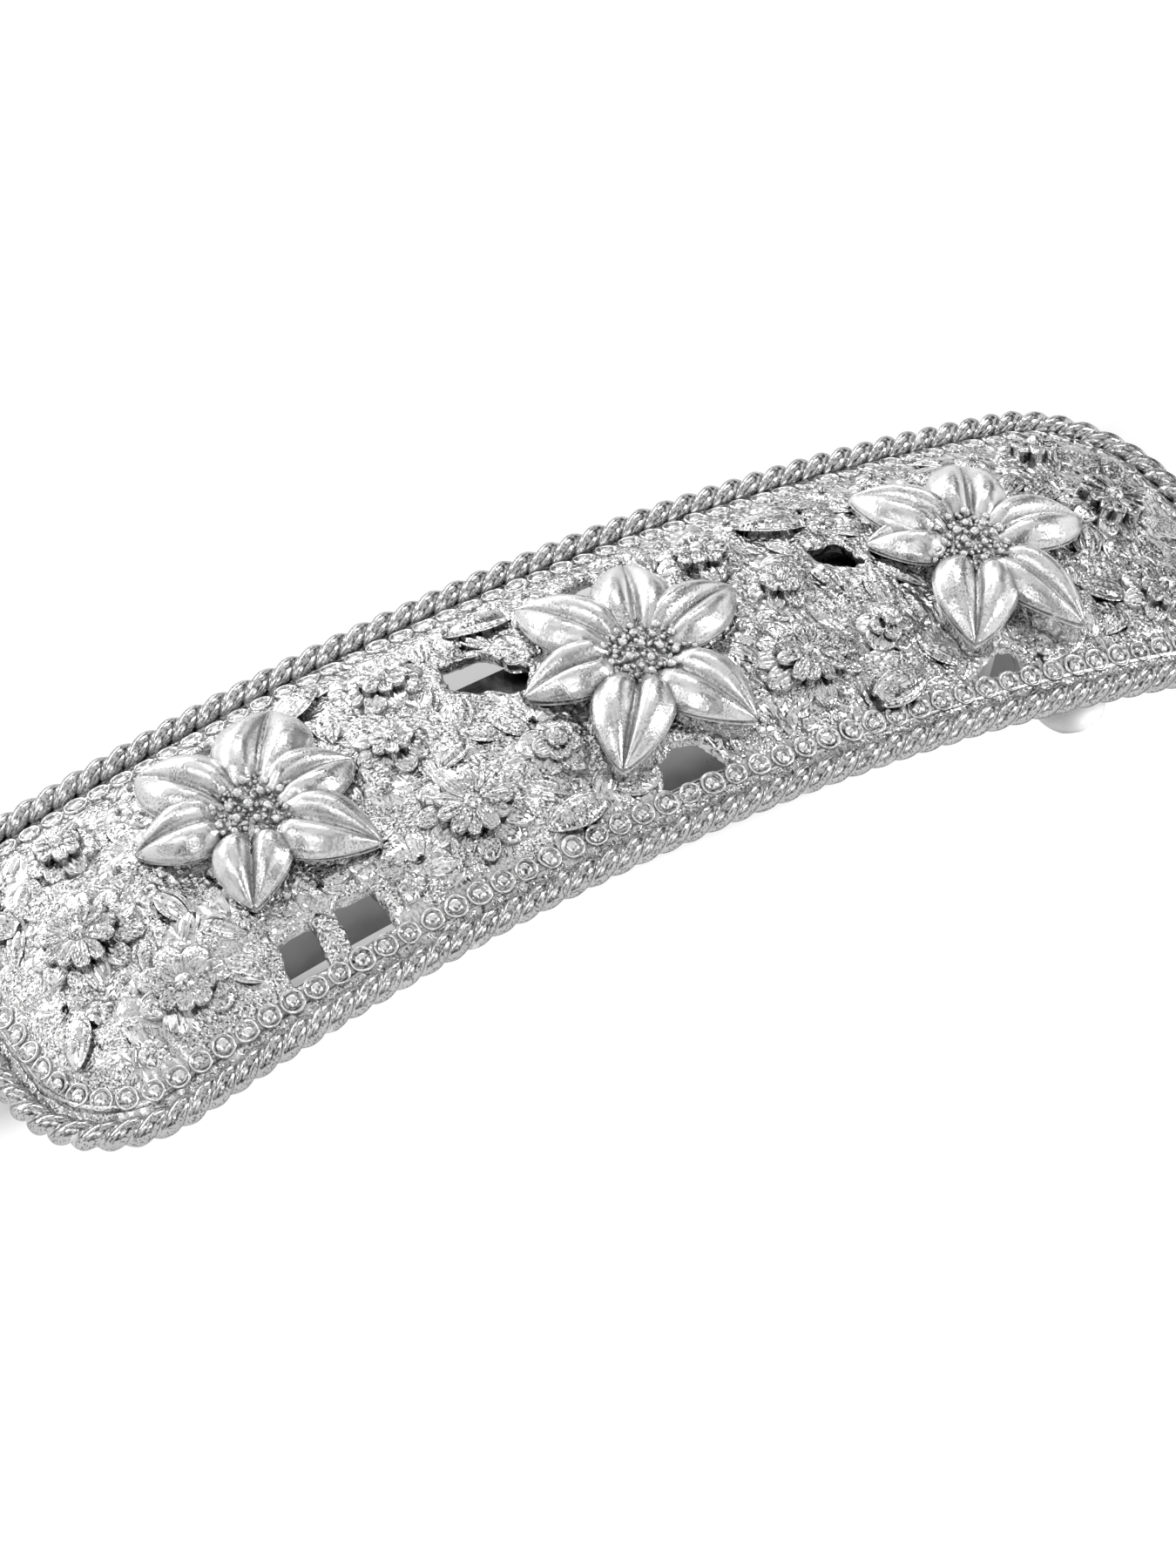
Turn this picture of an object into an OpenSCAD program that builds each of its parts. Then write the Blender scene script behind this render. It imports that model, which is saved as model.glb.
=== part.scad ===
// Arched hair clip (barrette) with a cast openwork flower ornament, in millimetres.
// +X runs along the clip towards its thumb tabs, +Z points out of the ornament, and
// the origin is on the surface that the clip lies on, under the middle of the clip.

/* [Ornament] */
// Length between the rope border's centre lines
clip_len = 90; // [86:1:94]
// Width between the rope border's centre lines, at the middle
clip_w = 25.2; // [24.6:0.2:26]
// How much wider the ends are than the middle, as a share
end_flare = 0.067; // [0.04:0.001:0.08]
// Radius of the plan outline's corners
corner_r = 7.8; // [7:0.1:8.6]
// Rise of the border from its ends to its middle
arch_rise = 7.7; // [7.2:0.1:8.2]
// Height of the pierced plate's crown above its border
crown_h = 2.8; // [2.6:0.1:3]
// Thickness of the pierced plate
plate_t = 1.0; // [0.9:0.05:1.1]
// Diameter of the rope border
rope_d = 1.9; // [1.7:0.05:2.1]
// Diameter of the bead border
bead_d = 1.3; // [1.1:0.05:1.5]

/* [Flowers] */
// Length of a lily's longest petal, from the flower's centre
petal_l = 9.4; // [8.8:0.1:9.8]
// Width of a lily's petal
petal_w = 4.5; // [4:0.1:5]
// Height of a lily's centre above the border
lily_h = 4.0; // [3.8:0.1:4.2]
// Thickness of petals and leaves
petal_t = 0.55; // [0.45:0.05:0.65]

/* [Mechanism] */
// Height of the rope's centre line above the surface at the clip's two ends
end_h = 4.2; // [4.1:0.1:4.4]
// Distance of the hinge pin from the middle of the clip
hinge_x = 29; // [28.5:0.5:29.5]
// Height of the hinge pin above the surface
pin_z = 1.9; // [1.8:0.1:2]
// Radius of the hinge pin
pin_r = 0.6; // [0.5:0.05:0.65]
// Radial clearance of the hinge pin in the latch arm
pin_clear = 0.05; // [0.03:0.01:0.08]
// Thickness of the base bar
bar_t = 0.8; // [0.7:0.05:0.9]
// Width of the base bar
bar_w = 8.4; // [8.2:0.1:8.6]
// Width of the latch arm
arm_w = 6.8; // [6.6:0.1:7]
// Depth of the latch arm's top below the border
arm_depth = 6.9; // [6.8:0.1:7]
// Thickness of the latch arm's sheet
arm_t = 0.6; // [0.5:0.05:0.7]
// Depth of the latch arm's turned-down sides
arm_side = 1.9; // [1.7:0.1:2]
// Thickness of the spring leaf
leaf_t = 0.35; // [0.3:0.05:0.4]

/* [Hidden] */
$fn = 48;
half_len = clip_len / 2;
half_w = clip_w / 2;
arch_r = (half_len * half_len + arch_rise * arch_rise) / (2 * arch_rise);
arch_cz = end_h + arch_rise - arch_r;
plate_inset = 0.5;
bead_inset = 1.85;
bead_lift = 0.75;

// Rope lobes on each stretch of the border: side, corner, end, corner, and round again.
ROPE_LOBES = [45, 7, 6, 7, 45, 7, 6, 7];
BEADS = [47, 5, 6, 5, 47, 5, 6, 5];
PLATE_STEPS = [22, 5, 4, 5, 22, 5, 4, 5];
PLATE_INSETS = [plate_inset, 1.6, 3, 5, 8, half_w - 0.2];

// Lilies: place along and across the clip, then each petal's direction and share of petal_l.
LILIES = [
    ["left", -24.6, 0.6, [[54, 0.98], [6, 0.8], [-50, 0.88], [-118, 0.72], [160, 0.8], [116, 0.96]]],
    ["middle", 0.9, -1.7, [[64, 1], [20, 1], [-64, 0.9], [-126, 0.98], [166, 0.82], [118, 1]]],
    ["right", 24.7, -1.5, [[60, 1], [6, 0.98], [-68, 0.96], [-120, 0.96], [148, 0.7], [117, 0.94]]]
];

// Small flowers: name, place along and across, radius, petals in the outer ring.
BLOSSOMS = [
    ["daisy_left_end", -37.4, 0.2, 4.2, 11],
    ["daisy_left", -13.6, -6.0, 3.9, 11],
    ["daisy_right", 10.7, -5.6, 3.8, 11],
    ["daisy_right_end", 37.6, 0.9, 3.9, 11],
    ["blossom_left_end_far", -35.0, 7.4, 2.7, 8],
    ["blossom_left_end_near", -34.2, -7.0, 3.2, 8],
    ["blossom_left_inner", -15.2, 1.0, 2.4, 8],
    ["blossom_left_far", -12.8, 6.2, 2.7, 8],
    ["blossom_right_inner", 12.6, 0.6, 2.2, 8],
    ["blossom_right_far", 9.6, 5.6, 2.8, 8],
    ["blossom_right_end_far", 36.2, 7.6, 2.7, 8],
    ["blossom_right_end_near", 36.0, -7.6, 2.8, 8],
    ["rose_left", -6.9, -4.6, 2.4, 5],
    ["rose_right", 16.8, -5.2, 2.2, 5]
];

// Leaves: name, place along and across, direction, length.
LEAVES = [
    ["leaf_left_end_near", -41.2, -5.8, -140, 3.6],
    ["leaf_left_end_far", -41.0, 5.6, 140, 3.6],
    ["leaf_left_far", -17.6, 8.6, 30, 4.2],
    ["leaf_left_near", -8.2, -9.2, 190, 4.2],
    ["leaf_middle_far", -5.4, 7.8, 170, 4.4],
    ["leaf_right_near", 15.4, -9.2, 10, 4.4],
    ["leaf_right_far", 15.4, 6.8, 160, 4.6],
    ["leaf_right_end_near", 41.4, -5.4, -40, 3.6],
    ["leaf_right_end_far", 41.2, 5.4, 40, 3.6]
];

// Pierced openings in the plate, each a plan outline that follows the gaps between the flowers.
OPENINGS = [
    [[-28.2, -7.2], [-25.6, -7.2], [-25.9, -10.3], [-28.6, -10.3]],
    [[-24.0, -7.0], [-21.4, -7.2], [-21.2, -10.2], [-24.4, -10.2]],
    [[-1.0, -6.8], [1.4, -7.6], [2.8, -10.2], [-2.6, -10.3]],
    [[20.4, -10.1], [22.2, -8.2], [23.9, -8.5], [24.2, -10.3]],
    [[-9.8, 3.2], [-9.2, 5.8], [-6.2, 5.2], [-4.6, 2.4], [-6.0, 0.4]],
    [[16.0, 2.2], [16.2, 3.6], [18.4, 3.2], [19.2, 0.8], [17.8, 0.4]],
    [[-25.4, 9.2], [-23.2, 9.6], [-22.8, 7.4]],
    [[0.6, 8.0], [3.6, 8.6], [2.2, 6.2]]
];

// Mechanism, measured outwards from the arch's axis where it follows the arch.
bar_gap = 0.5;
bar_out = arch_r + bar_gap + bar_t;
bar_left = -33;
bar_right = 34.5;
ear_t = 0.7;
ear_in = 3.8;
ear_half = 1.9;
ear_chamfer = 0.8;
knuckle_r = 1.3;
knuckle_gap = 0.1;
arm_out = arch_r - arm_depth;
arm_end = 27.6;
arm_side_cut = 1.06;
window_start = 22.8;
window_w = 6.1;
clasp_x = 29;
clasp_left = -3.7;
clasp_l = 8.9;
clasp_half_w = 3.2;
clasp_bottom = -0.35;
tab_y = 2;
tab_t = 0.5;
tab_top = -0.45;
tab_left = -3.5;
tab_l = 9.4;
neck_bottom = -7.6;
neck_l = 2.8;
wing_x = 3;
wing_z = -4.3;
wing_r = 2.9;
wing_l = 4.2;
wing_a = 54;
leaf_left = -26.4;
leaf_right = 22;
leaf_w = 5;
leaf_r = 400;
leaf_top = 9.95;
leaf_rivet_x = -24.8;
rivet_r = 0.8;
rivet_head_r = 1.4;
rivet_neck_r = 1.0;
rivet_head_h = 0.3;
pin_head_r = 0.95;
pin_head_h = 0.3;
pad_r = 1.7;
pad_bite = 0.15;

FIXED_NODES = ["cast_plate", "rope_border", "bead_border", "base_bar", "solder_pads", "clasp_head",
               "clasp_rivet", "spring_rivet", "hinge_pin"];
MOVING_NODES = ["latch_arm", "spring_leaf", "thumb_tab_near", "thumb_tab_far"];

// ---- Shape of the arched border and of the domed plate ----

// Point at fraction f of stretch k of the plan outline, moved in by inset.
function outline(k, f, inset) =
    let (
        r = max(corner_r - inset, 0.05),
        hx = half_len - inset,
        hy = half_w - inset,
        a = hx - r,
        b = hy - r,
        turn = 90 * (1 - f)
    )
    k == 0 ? [-a + 2 * a * f, hy] :
    k == 1 ? [a + r * cos(turn), b + r * sin(turn)] :
    k == 2 ? [hx, b - 2 * b * f] :
    k == 3 ? [a + r * cos(turn - 90), -b + r * sin(turn - 90)] :
    k == 4 ? [a - 2 * a * f, -hy] :
    k == 5 ? [-a + r * cos(turn - 180), -b + r * sin(turn - 180)] :
    k == 6 ? [-hx, -b + 2 * b * f] :
    [-a + r * cos(turn - 270), b + r * sin(turn - 270)];

function flared(p) = [p[0], p[1] * (1 + end_flare * pow(p[0] / half_len, 2))];

function rim_z(x) = arch_cz + sqrt(arch_r * arch_r - x * x);

// Height of the plate above the border, from the distance in from the border.
function dome(d) = crown_h * (1 - pow(1 - min(max(d, 0), half_w) / half_w, 2.4));

// Points round the border: steps per stretch, inset, and lift above the border.
function border(steps, inset, lift) = [
    for (k = [0:7], i = [0:steps[k] - 1])
        let (p = flared(outline(k, i / steps[k], inset)))
        [p[0], p[1], rim_z(p[0]) + lift]
];

function edge_distance(x, y) =
    min(half_len - abs(x), half_w * (1 + end_flare * pow(x / half_len, 2)) - abs(y));

function plate_z(x, y) = rim_z(x) + dome(edge_distance(x, y));

function unit(v) = v / norm(v);

// ---- Sweeps ----

// Closed ring of tube along pts, with the radius given for each point in turn.
module ring_tube(pts, radii, sides) {
    n = len(pts);
    m = len(radii);
    points = [
        for (i = [0:n - 1])
            let (
                along = unit(pts[(i + 1) % n] - pts[(i + n - 1) % n]),
                up = unit([pts[i][0], 0, pts[i][2] - arch_cz]),
                side = unit(cross(along, up))
            )
            for (j = [0:sides - 1])
                pts[i] + radii[i % m] * (cos(360 * j / sides) * side + sin(360 * j / sides) * up)
    ];
    faces = [
        for (i = [0:n - 1], j = [0:sides - 1])
            let (i2 = (i + 1) % n, j2 = (j + 1) % sides)
            [i * sides + j, i * sides + j2, i2 * sides + j2, i2 * sides + j]
    ];
    polyhedron(points, faces);
}

// Sweeps a section along an arch of outer radius r, from x0 to x1. In the section, X runs outwards from
// the arch's outer face and Y across the clip.
module arc_sweep(r, x0, x1, centre_z) {
    a0 = asin(x0 / r);
    a1 = asin(x1 / r);
    translate([0, 0, centre_z])
        rotate([90, 0, 0])
            rotate([0, 0, 90 - a1])
                rotate_extrude(angle = a1 - a0)
                    translate([r, 0])
                        children();
}

// Strip of thickness t and the given width under an arch of radius r.
module arc_strip(r, t, width, x0, x1, centre_z) {
    arc_sweep(r, x0, x1, centre_z)
        translate([-t, -width / 2])
            square([t, width]);
}

// Puts its children on the plate at x, y, square to the plate's surface.
module on_plate(x, y, lift = 0) {
    e = 0.05;
    slope_x = (plate_z(x + e, y) - plate_z(x - e, y)) / (2 * e);
    slope_y = (plate_z(x, y + e) - plate_z(x, y - e)) / (2 * e);
    translate([x, y, plate_z(x, y)])
        rotate([atan(slope_y), -atan(slope_x), 0])
            translate([0, 0, lift])
                children();
}

// Puts its children in the frame of the arch at x, with the border's level as zero.
module on_arch(x) {
    translate([x, 0, rim_z(x)])
        rotate([0, asin(x / arch_r), 0])
            children();
}

// ---- Ornament ----

// The plate's closed surface: rings of points that step in from its edge, then a strip down its middle.
module plate_shell() {
    n = len(border(PLATE_STEPS, 0, 0));
    side = PLATE_STEPS[0];
    near = n / 2;
    rings = len(PLATE_INSETS);
    tops = [for (d = PLATE_INSETS) each border(PLATE_STEPS, d, dome(d - plate_inset))];
    bottoms = [for (p = tops) p - [0, 0, plate_t]];
    under = n * rings;
    inner = (rings - 1) * n;
    skin = concat(
        [for (r = [0:rings - 2], i = [0:n - 1]) let (a = r * n + i, b = r * n + (i + 1) % n)
            [a, b, b + n, a + n]],
        [for (j = [0:side - 1])
            [inner + j, inner + j + 1, inner + near + side - j - 1, inner + near + side - j]],
        [[for (i = [side:near]) inner + i]],
        [[for (i = [near + side:n]) inner + i % n]]
    );
    polyhedron(
        concat(tops, bottoms),
        concat(
            skin,
            [for (f = skin) [for (i = [len(f) - 1:-1:0]) f[i] + under]],
            [for (i = [0:n - 1]) let (b = (i + 1) % n) [i, under + i, under + b, b]]
        )
    );
}

module cast_plate() {
    color("silver")
        difference() {
            plate_shell();
            for (o = OPENINGS)
                translate([0, 0, end_h])
                    linear_extrude(height = arch_rise + 2 * crown_h)
                        polygon(o);
        }
}

module rope_border() {
    color("gainsboro")
        ring_tube(border(2 * ROPE_LOBES, 0, 0), [rope_d / 2, 0.8 * rope_d / 2], 8);
}

module bead_border() {
    color("lightgray")
        ring_tube(border(2 * BEADS, bead_inset, bead_lift), [bead_d / 2, 0.7 * bead_d / 2], 6);
}

// Petal or leaf that starts at the origin and points along +X, creased down its middle.
module petal(length, width, thick, rise, droop, puff) {
    nu = 7;
    vs = [-1, -0.55, 0, 0.55, 1];
    nv = len(vs);
    top = [
        for (i = [0:nu], v = vs)
            let (
                u = i / nu,
                half = width / 2 * (0.24 * (1 - u) + pow(sin(180 * pow(u, 0.85)), 0.8)) + 0.08,
                swell = puff * sin(180 * u) * (1 - pow(2 * abs(v) - 1, 2))
            )
            [length * u, v * half, rise * sin(120 * u) - droop * u * u + swell]
    ];
    bottom = [for (p = top) p - [0, 0, thick]];
    under = len(top);
    rim = concat(
        [for (i = [0:nu]) i * nv],
        [for (j = [1:nv - 1]) nu * nv + j],
        [for (i = [nu - 1:-1:0]) i * nv + nv - 1],
        [for (j = [nv - 2:-1:1]) j]
    );
    polyhedron(
        concat(top, bottom),
        concat(
            [for (i = [0:nu - 1], j = [0:nv - 2]) let (a = i * nv + j) [a, a + 1, a + nv + 1, a + nv]],
            [for (i = [0:nu - 1], j = [0:nv - 2]) let (a = under + i * nv + j)
                [a, a + nv, a + nv + 1, a + 1]],
            [for (i = [0:len(rim) - 1]) let (a = rim[i], b = rim[(i + 1) % len(rim)])
                [a, b, b + under, a + under]]
        )
    );
}

// Six-petalled lily on a round seat that stands on the plate.
module lily(l) {
    color("whitesmoke")
        on_arch(l[1])
            translate([0, l[2], lily_h]) {
                translate([0, 0, -2.3])
                    cylinder(r = 2.4, h = 2.3, $fn = 12);
                for (p = l[3])
                    rotate([0, 0, p[0]])
                        translate([0.6, 0, -0.25])
                            petal(petal_l * p[1] - 0.6, petal_w, petal_t, 0.9, 1.6, 0.5);
            }
}

// Cluster of filaments with round anthers at a lily's centre.
module stamens(l) {
    color("gray")
        on_arch(l[1])
            translate([0, l[2], lily_h]) {
                translate([0, 0, -0.4])
                    cylinder(r1 = 1.5, r2 = 1.1, h = 0.8);
                for (i = [0:6])
                    rotate([0, 25, 360 * i / 7])
                        translate([0.9, 0, 0]) {
                            cylinder(r = 0.22, h = 1.1);
                            translate([0, 0, 1.1])
                                sphere(r = 0.42);
                        }
                cylinder(r = 0.25, h = 1.2);
                translate([0, 0, 1.2])
                    sphere(r = 0.5);
            }
}

// Small round flower: a ring of puffed petals round a button, as one closed surface.
module blossom(b) {
    outer = b[3];
    count = b[4];
    steps = count * (count > 8 ? 3 : 4);
    shares = [0.18, 0.34, 0.46, 0.75, 1];
    button_h = 0.36 * outer + 0.45;
    petal_h = 0.2 * outer + 0.5;
    rings = [
        for (i = [0:len(shares) - 1], j = [0:steps - 1])
            let (
                s = shares[i],
                turn = 360 * j / steps,
                lobe = abs(cos(count * turn / 2)),
                r = outer * s * (1 - 0.14 * s * (1 - lobe)),
                z = i == 0 ? button_h * 0.9 :
                    i == 1 ? button_h * 0.55 :
                    i == 2 ? petal_h * 0.45 :
                    i == 3 ? petal_h * (0.6 + 0.4 * lobe) : 0.1
            )
            [r * cos(turn), r * sin(turn), z]
    ];
    base = [for (j = [0:steps - 1]) let (p = rings[(len(shares) - 1) * steps + j]) [p[0], p[1], -0.5]];
    top_i = len(rings) + steps;
    color("silver")
        on_plate(b[1], b[2])
            polyhedron(
                concat(rings, base, [[0, 0, button_h]]),
                concat(
                    [for (i = [0:len(shares) - 1], j = [0:steps - 1]) let (j2 = (j + 1) % steps)
                        [i * steps + j2, (i + 1) * steps + j2, (i + 1) * steps + j, i * steps + j]],
                    [for (j = [0:steps - 1]) [(j + 1) % steps, j, top_i]],
                    [[for (j = [0:steps - 1]) len(shares) * steps + j]]
                )
            );
}

module leaf(l) {
    color("lightgray")
        on_plate(l[1], l[2], 0.25)
            rotate([0, 0, l[3]])
                translate([-l[4] / 2, 0, 0])
                    petal(l[4], l[4] * 0.5, petal_t, 0.2, 0.3, 0.25);
}

// ---- Mechanism ----

module ear_outline(top_z) {
    polygon([
        [-hinge_x - ear_half - 0.6, top_z],
        [-hinge_x - ear_half, ear_chamfer],
        [-hinge_x - ear_half + ear_chamfer, 0],
        [-hinge_x + ear_half - ear_chamfer, 0],
        [-hinge_x + ear_half, ear_chamfer],
        [-hinge_x + ear_half + 0.6, top_z]
    ]);
}

// Arched steel bar with two hinge ears turned down at its left end.
module base_bar() {
    color("darkgray")
        difference() {
            union() {
                arc_strip(bar_out, bar_t, bar_w, bar_left, bar_right, arch_cz);
                for (y = [-ear_in - ear_t, ear_in])
                    translate([0, y + ear_t, 0])
                        rotate([90, 0, 0])
                            linear_extrude(height = ear_t)
                                ear_outline(rim_z(hinge_x) + 0.7);
            }
            translate([-hinge_x, ear_in + 2 * ear_t, pin_z])
                rotate([90, 0, 0])
                    cylinder(r = pin_r, h = 2 * (ear_in + 2 * ear_t));
            on_arch(clasp_x)
                translate([0, 0, -1])
                    cylinder(r = rivet_r, h = 3);
            translate([leaf_rivet_x, 0, rim_z(leaf_rivet_x) - 1])
                cylinder(r = rivet_r, h = 4);
        }
}

// Solder that joins the base bar to the underside of the pierced plate.
module solder_pads() {
    color("gray")
        for (x = [-20, -8, 8, 20])
            on_arch(x)
                translate([0, 0, bar_out - arch_r])
                    cylinder(r = pad_r, h = crown_h - plate_t + pad_bite - (bar_out - arch_r));
}

module clasp_head() {
    color("darkgray")
        on_arch(clasp_x)
            difference() {
                translate([clasp_left, -clasp_half_w, clasp_bottom])
                    cube([clasp_l, 2 * clasp_half_w, bar_gap - clasp_bottom]);
                translate([0, 0, -1])
                    cylinder(r = rivet_r, h = 3);
            }
}

module clasp_rivet() {
    color("gray")
        on_arch(clasp_x) {
            translate([0, 0, clasp_bottom])
                cylinder(r = rivet_r, h = bar_out - arch_r - clasp_bottom);
            translate([0, 0, clasp_bottom - rivet_head_h])
                cylinder(r1 = rivet_neck_r, r2 = rivet_head_r, h = rivet_head_h);
        }
}

module spring_rivet() {
    head_top = leaf_top - pow(leaf_rivet_x, 2) / (2 * leaf_r) - leaf_t - 0.15;
    color("gray")
        translate([leaf_rivet_x, 0, 0]) {
            translate([0, 0, head_top])
                cylinder(r = rivet_r, h = rim_z(leaf_rivet_x) + 1.1 - head_top);
            translate([0, 0, head_top - rivet_head_h])
                cylinder(r1 = rivet_neck_r, r2 = rivet_head_r, h = rivet_head_h);
        }
}

module hinge_pin() {
    color("gray")
        translate([-hinge_x, 0, pin_z])
            rotate([90, 0, 0]) {
                cylinder(r = pin_r, h = 2 * (ear_in + ear_t + pin_head_h), center = true);
                for (s = [-1, 1])
                    translate([0, 0, s * (ear_in + ear_t + pin_head_h / 2)])
                        cylinder(r = pin_head_r, h = pin_head_h, center = true);
            }
}

// Channel-shaped arm that closes under the hair, with a forked end that straddles the clasp.
module latch_arm() {
    color("lightgray")
        difference() {
            union() {
                difference() {
                    arc_sweep(arm_out, -hinge_x + 0.4, arm_end, arch_cz)
                        difference() {
                            translate([-arm_side, -arm_w / 2])
                                square([arm_side, arm_w]);
                            translate([-arm_side - 1, -arm_w / 2 + arm_t])
                                square([arm_side + 1 - arm_t, arm_w - 2 * arm_t]);
                        }
                    translate([-hinge_x - 1, -arm_w, arm_side_cut - arm_w])
                        cube([3.2, 2 * arm_w, arm_w]);
                }
                translate([-hinge_x, 0, pin_z])
                    rotate([90, 0, 0])
                        cylinder(r = knuckle_r, h = 2 * (ear_in - knuckle_gap), center = true);
            }
            translate([-hinge_x, 0, pin_z])
                rotate([90, 0, 0])
                    cylinder(r = pin_r + pin_clear, h = 20, center = true);
            translate([window_start, -window_w / 2, -5])
                cube([20, window_w, 20]);
        }
}

// Thin spring leaf under the base bar, which presses the hair against the latch arm.
module spring_leaf() {
    color("silver")
        intersection() {
            arc_strip(leaf_r, leaf_t, 2 * leaf_w, leaf_left - 1, leaf_right + 1, leaf_top - leaf_r);
            linear_extrude(height = 20)
                difference() {
                    union() {
                        translate([leaf_left, -leaf_w / 2])
                            square([leaf_right - leaf_left - leaf_w / 2, leaf_w]);
                        translate([leaf_right - leaf_w / 2, 0])
                            circle(r = leaf_w / 2);
                    }
                    translate([leaf_rivet_x, 0])
                        circle(r = rivet_r + 0.08);
                }
        }
}

// Spring tab of the clasp: a neck beside the arm's fork, and a lobe that a thumb presses.
module thumb_tab(side) {
    color("gainsboro")
        difference() {
            on_arch(clasp_x)
                mirror([0, side > 0 ? 0 : 1, 0])
                    union() {
                        translate([tab_left, tab_y - tab_t / 2, wing_z - 0.3])
                            cube([tab_l, tab_t, tab_top - wing_z + 0.3]);
                        translate([tab_left, tab_y - tab_t / 2, neck_bottom])
                            cube([neck_l, tab_t, wing_z - neck_bottom]);
                        translate([wing_x, tab_y, wing_z])
                            rotate([wing_a, 0, 0])
                                translate([0, tab_t / 2, 0])
                                    rotate([90, 0, 0])
                                        linear_extrude(height = tab_t)
                                            wing_outline();
                    }
            translate([0, -50, -20])
                cube([100, 100, 20]);
        }
}

module wing_outline() {
    translate([-wing_r, -wing_l])
        square([2 * wing_r, wing_l]);
    translate([0, -wing_l])
        circle(r = wing_r);
}

// ---- Nodes ----

cast_plate();
rope_border();
bead_border();
base_bar();
solder_pads();
clasp_head();
clasp_rivet();
spring_rivet();
hinge_pin();
latch_arm();
spring_leaf();
thumb_tab(-1);  // thumb_tab_near
thumb_tab(1);  // thumb_tab_far
for (l = LILIES) {
    lily(l);
    stamens(l);
}
for (b = BLOSSOMS)
    blossom(b);
for (l = LEAVES)
    leaf(l);
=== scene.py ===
"""Looks of an arched hair clip with a cast openwork ornament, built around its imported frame.

Shapes are worked out in millimetres and become metres when a mesh is made. +X runs along the clip
to its thumb tabs, +Y across it, and +Z out of the ornament.
"""

import math

import bmesh
import bpy
import numpy as np
from mathutils import Matrix, Vector, noise
from mathutils.bvhtree import BVHTree


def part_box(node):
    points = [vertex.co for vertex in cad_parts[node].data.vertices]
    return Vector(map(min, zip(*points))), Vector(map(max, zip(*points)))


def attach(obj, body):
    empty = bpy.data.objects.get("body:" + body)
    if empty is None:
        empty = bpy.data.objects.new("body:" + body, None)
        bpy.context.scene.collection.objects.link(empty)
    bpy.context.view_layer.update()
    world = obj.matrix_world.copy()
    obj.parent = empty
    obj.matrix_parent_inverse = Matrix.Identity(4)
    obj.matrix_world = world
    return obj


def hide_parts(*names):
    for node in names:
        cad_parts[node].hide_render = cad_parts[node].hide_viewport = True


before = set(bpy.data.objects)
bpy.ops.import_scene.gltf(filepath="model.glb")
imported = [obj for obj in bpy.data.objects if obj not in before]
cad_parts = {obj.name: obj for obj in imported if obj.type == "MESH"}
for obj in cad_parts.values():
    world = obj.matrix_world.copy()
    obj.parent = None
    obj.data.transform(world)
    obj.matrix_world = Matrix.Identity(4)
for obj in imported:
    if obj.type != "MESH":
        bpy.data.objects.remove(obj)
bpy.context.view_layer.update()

MM = 0.001
BODY = "clip_body"
rng = np.random.default_rng(7)

# ---- Driving sizes of the ornament, in millimetres ----

CLIP_W = 25.2
END_FLARE = 0.067
CORNER_R = 7.8
ROPE_D = 1.9
ROPE_TURNS = 65
ROPE_VALLEY = 0.56
BEAD_COUNT = 126
BEAD_INSET = 1.85
BEAD_LIFT = 0.75
LEDGE_INSET = 2.62
LEDGE_R = 0.12
LILY_H = 4.0
PETAL_L = 9.4
PETAL_W = 4.5
PLATE_VOXEL = 0.22
GROUND_SWELL = 0.24
GROUND_FOLD = 0.14
GROUND_PIT = 0.04
GRAIN_COUNT = 320
FILLER_TRIES = 2600

# Turn in radians from one seed to the next in a sunflower's spiral
SEED_TURN = 2.399963

# Half section of a bead's cup, as (radius, height) from its foot over its rim to its middle
CUP = [(0.74, -0.6), (0.79, -0.1), (0.75, 0.05), (0.68, 0.07), (0.61, 0.0), (0.5, -0.12), (0.05, -0.14)]

# Petals of each lily: direction in degrees, share of PETAL_L, share of PETAL_W, and bluntness of the tip.
LILY_PETALS = {
    "left": [
        (54, 0.98, 1.3, 0.9), (6, 0.8, 1.0, 0.3), (-50, 0.88, 1.05, 0.0),
        (-118, 0.72, 1.0, 0.0), (160, 0.8, 0.95, 0.1), (116, 0.96, 1.05, 0.5),
    ],
    "middle": [
        (64, 1.0, 1.05, 0.4), (20, 1.0, 1.0, 0.2), (-64, 0.9, 1.08, 0.0),
        (-126, 0.98, 1.05, 0.0), (166, 0.82, 0.9, 0.2), (118, 1.0, 1.0, 0.2),
    ],
    "right": [
        (60, 1.0, 1.05, 0.5), (6, 0.98, 1.0, 0.3), (-68, 0.96, 0.95, 0.0),
        (-120, 0.96, 1.1, 0.0), (148, 0.7, 1.0, 0.0), (117, 0.94, 0.95, 0.1),
    ],
}

# Rings of stamens: how many, ring radius, height, outward lean in degrees, and radius of the heads
STAMEN_RINGS = [
    (1, 0.0, 0.8, 0, 0.34), (6, 1.0, 0.75, 16, 0.3), (10, 1.9, 0.6, 36, 0.3), (8, 2.6, 0.45, 55, 0.24),
]

# For each kind of flower: petals in a ring, the button's share of the radius, and rings of
# (inner share, outer share, base height, puff height, groove depth, tip in degrees).
FLOWERS = {
    "daisy": (11, 0.19, [(0.3, 1.0, 0.1, 0.85, 0.3, 8), (0.16, 0.66, 0.75, 0.55, 0.25, -4)]),
    "blossom": (8, 0.24, [(0.3, 1.0, 0.1, 0.8, 0.3, 8), (0.15, 0.66, 0.7, 0.5, 0.25, -6)]),
    "rose": (
        5, 0.2,
        [(0.1, 1.0, 0.1, 0.8, 0.34, 8), (0.05, 0.68, 0.65, 0.6, 0.3, 0), (0, 0.42, 1.1, 0.5, 0.2, -8)],
    ),
}


def box_mm(node):
    """Lowest and highest corner of a CAD node's box."""
    low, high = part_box(node)
    return np.array(low) / MM, np.array(high) / MM


def kind(node):
    """First word of a node's name, such as daisy."""
    return node.split("_")[0]


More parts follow.
